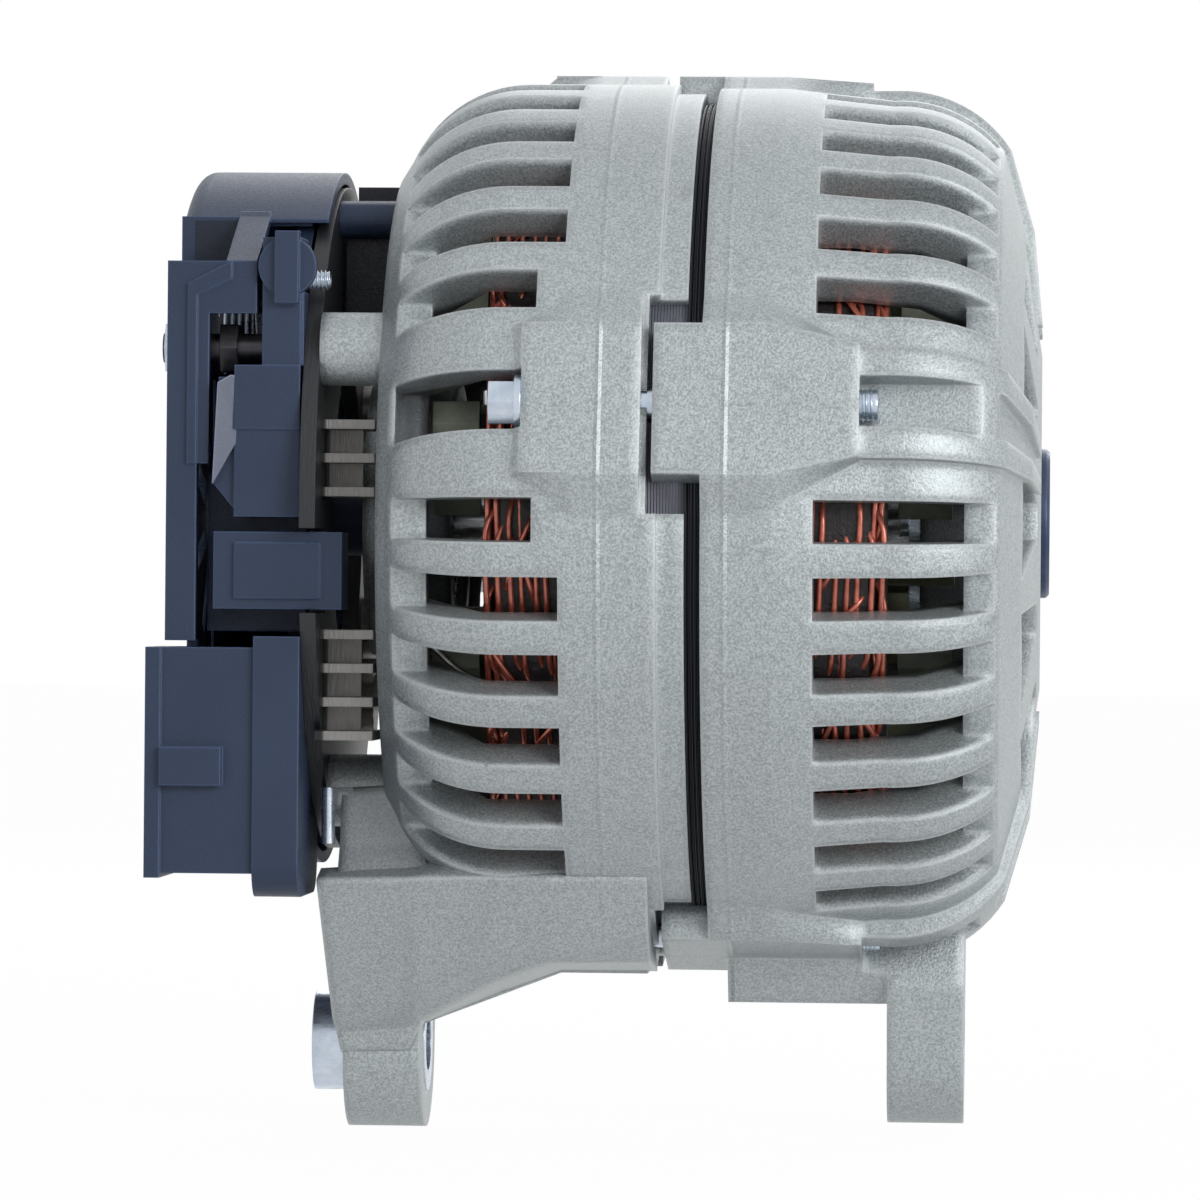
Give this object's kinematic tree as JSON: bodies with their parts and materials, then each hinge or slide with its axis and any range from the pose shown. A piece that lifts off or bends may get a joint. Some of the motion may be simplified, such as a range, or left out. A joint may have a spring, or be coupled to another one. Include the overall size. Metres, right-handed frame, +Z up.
{
  "type": "alternator",
  "caption": "Claw-pole alternator head: two slotted cast housings clamp a laminated stator round a rotor on ball bearings, with rectifier, brushes, plug socket, cover and mounting feet.",
  "frame": {"origin": "centre of the drive collar's outer face, on the shaft's axis, at the mouth of the shaft's threaded bore", "axes": "+X out of the drive end along the shaft, +Z up, away from the mounting feet"},
  "size_m": [0.1515, 0.1564, 0.1846],
  "materials": {
    "cast_aluminium": "cast, shot blasted",
    "heat_sink_aluminium": "extruded, matt",
    "bearing_steel": "ground and polished",
    "blued_steel": "dark blue oxide",
    "zinc_steel": "zinc plated",
    "olive_zinc": "yellow passivated sheet",
    "electrical_steel": "varnished laminations",
    "pole_steel": "forged, varnished",
    "copper": "enamelled wire",
    "black_plastic": "moulded, fine texture",
    "carbon": "pressed carbon and copper",
    "diode_metal": "nickel plated",
    "brass_metal": "plain brass",
    "seal_rubber": "matt rubber"
  },
  "bodies": {
    "stator": {"drive_end_housing": "cast_aluminium", "rear_housing": "cast_aluminium", "stator_core": "electrical_steel", "stator_winding": "copper", "through_bolts": "zinc_steel", "front_bearing_outer_ring": "bearing_steel", "front_bearing_seals": "seal_rubber", "rear_bearing_outer_ring": "bearing_steel", "rear_bearing_seals": "seal_rubber", "bearing_retainer": "zinc_steel", "retainer_screws": "zinc_steel", "inner_brush_spring": "zinc_steel", "outer_brush_spring": "zinc_steel", "regulator_housing": "black_plastic", "side_cap": "black_plastic", "negative_heat_sink": "heat_sink_aluminium", "positive_heat_sink": "heat_sink_aluminium", "negative_diodes": "diode_metal", "positive_diodes": "diode_metal", "connection_carrier": "black_plastic", "cover_studs": "zinc_steel", "regulator_screw": "zinc_steel", "rectifier_nuts": "zinc_steel", "cover_nuts": "zinc_steel", "battery_stud": "zinc_steel", "battery_nut": "zinc_steel", "plug_flange": "black_plastic", "plug_socket": "black_plastic", "plug_pins": "brass_metal", "rear_cover": "black_plastic", "terminal_block": "black_plastic"},
    "rotor": {"rotor_shaft": "bearing_steel", "drive_collar": "blued_steel", "front_bearing_inner_ring": "bearing_steel", "rear_bearing_inner_ring": "bearing_steel", "front_claw_pole": "pole_steel", "rear_claw_pole": "pole_steel", "coil_bobbin": "black_plastic", "field_coil": "copper", "front_fan": "olive_zinc", "rear_fan": "olive_zinc", "slip_ring_carrier": "black_plastic", "slip_rings": "brass_metal"},
    "front_ball_set": {"front_bearing_balls": "bearing_steel", "front_bearing_cage": "brass_metal"},
    "rear_ball_set": {"rear_bearing_balls": "bearing_steel", "rear_bearing_cage": "brass_metal"},
    "inner_brush_body": {"inner_brush": "carbon"},
    "outer_brush_body": {"outer_brush": "carbon"},
    "foot_bush_body": {"foot_bush": "zinc_steel"}
  },
  "joints": [
    {"name": "rotor_spin", "type": "hinge", "parent": "stator", "child": "rotor", "pos_m": [-0.06, 0, 0], "axis": [1, 0, 0], "continuous": true},
    {"name": "front_balls_spin", "type": "hinge", "parent": "stator", "child": "front_ball_set", "pos_m": [-0.0125, 0, 0], "axis": [1, 0, 0], "continuous": true},
    {"name": "rear_balls_spin", "type": "hinge", "parent": "stator", "child": "rear_ball_set", "pos_m": [-0.1105, 0, 0], "axis": [1, 0, 0], "continuous": true},
    {"name": "inner_brush_slide", "type": "slide", "parent": "stator", "child": "inner_brush_body", "axis": [0, -1, 0], "range_m": [0, 0.005], "stiffness_N_per_m": 60, "springref_m": -0.004, "deforming": ["inner_brush_spring"]},
    {"name": "outer_brush_slide", "type": "slide", "parent": "stator", "child": "outer_brush_body", "axis": [0, -1, 0], "range_m": [0, 0.005], "stiffness_N_per_m": 60, "springref_m": -0.004, "deforming": ["outer_brush_spring"]},
    {"name": "foot_bush_slide", "type": "slide", "parent": "stator", "child": "foot_bush_body", "axis": [1, 0, 0], "range_m": [0, 0.004]}
  ],
  "couplings": [
    {"joint": "front_balls_spin", "follows": "rotor_spin", "ratio": 0.37},
    {"joint": "rear_balls_spin", "follows": "rotor_spin", "ratio": 0.38}
  ]
}
